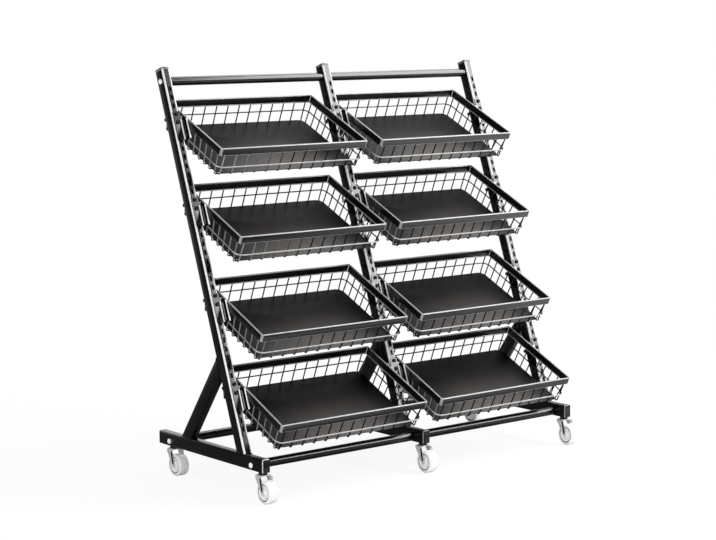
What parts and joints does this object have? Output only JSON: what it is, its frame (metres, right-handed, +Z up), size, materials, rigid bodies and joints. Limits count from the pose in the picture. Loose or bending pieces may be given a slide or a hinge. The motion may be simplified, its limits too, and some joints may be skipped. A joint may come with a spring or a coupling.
{
  "type": "slanted basket display rack",
  "caption": "Leaning tube rack on casters with two columns of shallow tilted wire baskets that hang from bolted brackets and lift off, for packets of snacks.",
  "frame": {"origin": "on the floor under the middle of the rack's overall box", "axes": "+X to the right as a shopper faces the rack, +Y to the back, +Z up"},
  "size_m": [1.177, 0.5636, 1.1656],
  "materials": {
    "black_coat": "satin black powder coat",
    "tray_coat": "satin charcoal coat",
    "cap_plastic": "moulded black plastic",
    "fork_zinc": "pressed steel, bright zinc plated",
    "wheel_plastic": "moulded white plastic"
  },
  "bodies": {
    "frame": {"foot_left": "black_coat", "upright_left": "black_coat", "upright_cap_left": "cap_plastic", "brace_left": "black_coat", "foot_middle": "black_coat", "upright_middle": "black_coat", "upright_cap_middle": "cap_plastic", "brace_middle": "black_coat", "foot_right": "black_coat", "upright_right": "black_coat", "upright_cap_right": "cap_plastic", "brace_right": "black_coat", "top_rail_left": "black_coat", "top_rail_right": "black_coat", "front_rail_left": "black_coat", "front_rail_right": "black_coat", "rear_rail_left": "black_coat", "rear_rail_right": "black_coat", "bracket_left_1": "black_coat", "bracket_left_2": "black_coat", "bracket_left_3": "black_coat", "bracket_left_4": "black_coat", "bracket_middle_1": "black_coat", "bracket_middle_2": "black_coat", "bracket_middle_3": "black_coat", "bracket_middle_4": "black_coat", "bracket_right_1": "black_coat", "bracket_right_2": "black_coat", "bracket_right_3": "black_coat", "bracket_right_4": "black_coat"},
    "fork_left_front": {"caster_fork_left_front": "fork_zinc"},
    "wheel_left_front": {"caster_wheel_left_front": "wheel_plastic"},
    "fork_left_rear": {"caster_fork_left_rear": "fork_zinc"},
    "wheel_left_rear": {"caster_wheel_left_rear": "wheel_plastic"},
    "fork_middle_front": {"caster_fork_middle_front": "fork_zinc"},
    "wheel_middle_front": {"caster_wheel_middle_front": "wheel_plastic"},
    "fork_right_front": {"caster_fork_right_front": "fork_zinc"},
    "wheel_right_front": {"caster_wheel_right_front": "wheel_plastic"},
    "fork_right_rear": {"caster_fork_right_rear": "fork_zinc"},
    "wheel_right_rear": {"caster_wheel_right_rear": "wheel_plastic"},
    "basket_left_1": {"basket_left_1": "black_coat", "tray_left_1": "tray_coat"},
    "basket_left_2": {"basket_left_2": "black_coat", "tray_left_2": "tray_coat"},
    "basket_left_3": {"basket_left_3": "black_coat", "tray_left_3": "tray_coat"},
    "basket_left_4": {"basket_left_4": "black_coat", "tray_left_4": "tray_coat"},
    "basket_right_1": {"basket_right_1": "black_coat", "tray_right_1": "tray_coat"},
    "basket_right_2": {"basket_right_2": "black_coat", "tray_right_2": "tray_coat"},
    "basket_right_3": {"basket_right_3": "black_coat", "tray_right_3": "tray_coat"},
    "basket_right_4": {"basket_right_4": "black_coat", "tray_right_4": "tray_coat"}
  },
  "joints": [
    {"name": "swivel_left_front", "type": "hinge", "parent": "frame", "child": "fork_left_front", "pos_m": [-0.568, -0.22691, 0.0825], "axis": [0, 0, 1], "continuous": true},
    {"name": "roll_left_front", "type": "hinge", "parent": "fork_left_front", "child": "wheel_left_front", "pos_m": [-0.568, -0.24891, 0.0315], "axis": [1, 0, 0], "continuous": true},
    {"name": "swivel_left_rear", "type": "hinge", "parent": "frame", "child": "fork_left_rear", "pos_m": [-0.568, 0.20609, 0.0825], "axis": [0, 0, 1], "continuous": true},
    {"name": "roll_left_rear", "type": "hinge", "parent": "fork_left_rear", "child": "wheel_left_rear", "pos_m": [-0.568, 0.18409, 0.0315], "axis": [1, 0, 0], "continuous": true},
    {"name": "swivel_middle_front", "type": "hinge", "parent": "frame", "child": "fork_middle_front", "pos_m": [0, -0.22691, 0.0825], "axis": [0, 0, 1], "continuous": true},
    {"name": "roll_middle_front", "type": "hinge", "parent": "fork_middle_front", "child": "wheel_middle_front", "pos_m": [0, -0.24891, 0.0315], "axis": [1, 0, 0], "continuous": true},
    {"name": "swivel_right_front", "type": "hinge", "parent": "frame", "child": "fork_right_front", "pos_m": [0.568, -0.22691, 0.0825], "axis": [0, 0, 1], "continuous": true},
    {"name": "roll_right_front", "type": "hinge", "parent": "fork_right_front", "child": "wheel_right_front", "pos_m": [0.568, -0.24891, 0.0315], "axis": [1, 0, 0], "continuous": true},
    {"name": "swivel_right_rear", "type": "hinge", "parent": "frame", "child": "fork_right_rear", "pos_m": [0.568, 0.20609, 0.0825], "axis": [0, 0, 1], "continuous": true},
    {"name": "roll_right_rear", "type": "hinge", "parent": "fork_right_rear", "child": "wheel_right_rear", "pos_m": [0.568, 0.18409, 0.0315], "axis": [1, 0, 0], "continuous": true},
    {"name": "lift_left_1", "type": "slide", "parent": "frame", "child": "basket_left_1", "axis": [0, 0.3381, 0.9411], "range_m": [0, 0.065]},
    {"name": "lift_left_2", "type": "slide", "parent": "frame", "child": "basket_left_2", "axis": [0, 0.3381, 0.9411], "range_m": [0, 0.065]},
    {"name": "lift_left_3", "type": "slide", "parent": "frame", "child": "basket_left_3", "axis": [0, 0.3381, 0.9411], "range_m": [0, 0.065]},
    {"name": "lift_left_4", "type": "slide", "parent": "frame", "child": "basket_left_4", "axis": [0, 0.3381, 0.9411], "range_m": [0, 0.065]},
    {"name": "lift_right_1", "type": "slide", "parent": "frame", "child": "basket_right_1", "axis": [0, 0.3381, 0.9411], "range_m": [0, 0.065]},
    {"name": "lift_right_2", "type": "slide", "parent": "frame", "child": "basket_right_2", "axis": [0, 0.3381, 0.9411], "range_m": [0, 0.065]},
    {"name": "lift_right_3", "type": "slide", "parent": "frame", "child": "basket_right_3", "axis": [0, 0.3381, 0.9411], "range_m": [0, 0.065]},
    {"name": "lift_right_4", "type": "slide", "parent": "frame", "child": "basket_right_4", "axis": [0, 0.3381, 0.9411], "range_m": [0, 0.065]}
  ]
}
